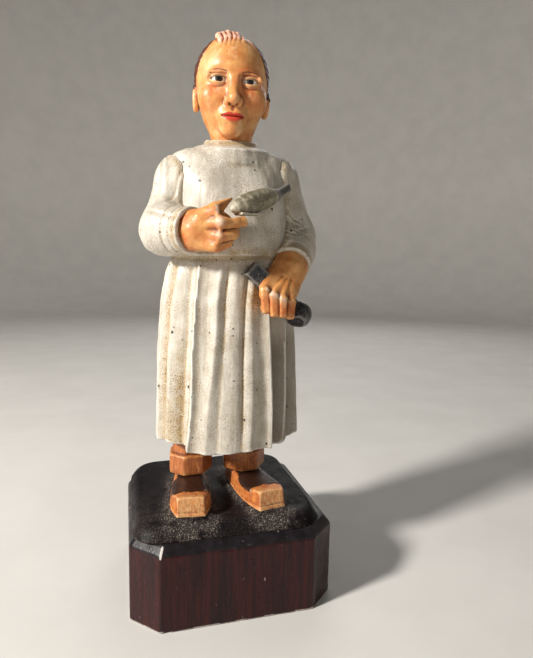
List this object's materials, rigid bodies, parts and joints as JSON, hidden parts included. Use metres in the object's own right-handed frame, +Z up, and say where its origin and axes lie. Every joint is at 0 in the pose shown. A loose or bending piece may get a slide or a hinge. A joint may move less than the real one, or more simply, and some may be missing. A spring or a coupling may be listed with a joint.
{
  "type": "carved wooden figurine",
  "caption": "Carved and painted standing figure in a long work smock holding two small hand tools, on a stained block with cut corners.",
  "frame": {"origin": "middle of the block's underside", "axes": "+Z up; the figure looks along -Y; +X is the figure's left"},
  "size_m": [0.097, 0.097, 0.2754],
  "materials": {
    "mahogany_stain": "dark red-brown stained hardwood with fine straight grain, satin varnish, black painted top bevel with worn pale edges",
    "black_ground_paint": "carved wood painted dull black, dusty grey specks round the shoes",
    "shoe_paint": "carved wood, orange-brown shoes with a dark brown upper, pale worn edges, satin varnish",
    "trouser_paint": "carved wood painted orange-brown, darker in the folds, satin",
    "smock_paint": "carved wood painted off-white, beige-gold patina in grooves and on ridges, fine specks and small dark chips, satin",
    "skin_paint": "carved wood painted ochre skin colour under glossy aged varnish, dark auburn hair",
    "grey_tool_paint": "carved wood painted warm grey with fine dark specks",
    "dark_tool_paint": "carved wood painted black with grey worn facets, satin",
    "dowel_wood": "bare beech dowel",
    "screw_steel": "plain steel countersunk wood screw"
  },
  "bodies": {
    "root": {"base_block": "mahogany_stain", "ground_plinth": "black_ground_paint", "base_screw_front": "screw_steel", "base_screw_rear": "screw_steel", "right_shoe": "shoe_paint", "left_shoe": "shoe_paint", "right_trouser_leg": "trouser_paint", "left_trouser_leg": "trouser_paint", "smock_body": "smock_paint", "right_sleeve": "smock_paint", "left_sleeve": "smock_paint", "right_hand": "skin_paint", "left_hand": "skin_paint", "head": "skin_paint", "grip_tool_handle": "grey_tool_paint", "grip_tool_shank": "dark_tool_paint", "bar_tool_handle": "dark_tool_paint", "bar_tool_head": "dark_tool_paint", "right_leg_dowel": "dowel_wood", "left_leg_dowel": "dowel_wood", "neck_dowel": "dowel_wood", "right_shoulder_dowel": "dowel_wood", "left_shoulder_dowel": "dowel_wood", "right_wrist_dowel": "dowel_wood", "left_wrist_dowel": "dowel_wood"}
  },
  "joints": []
}
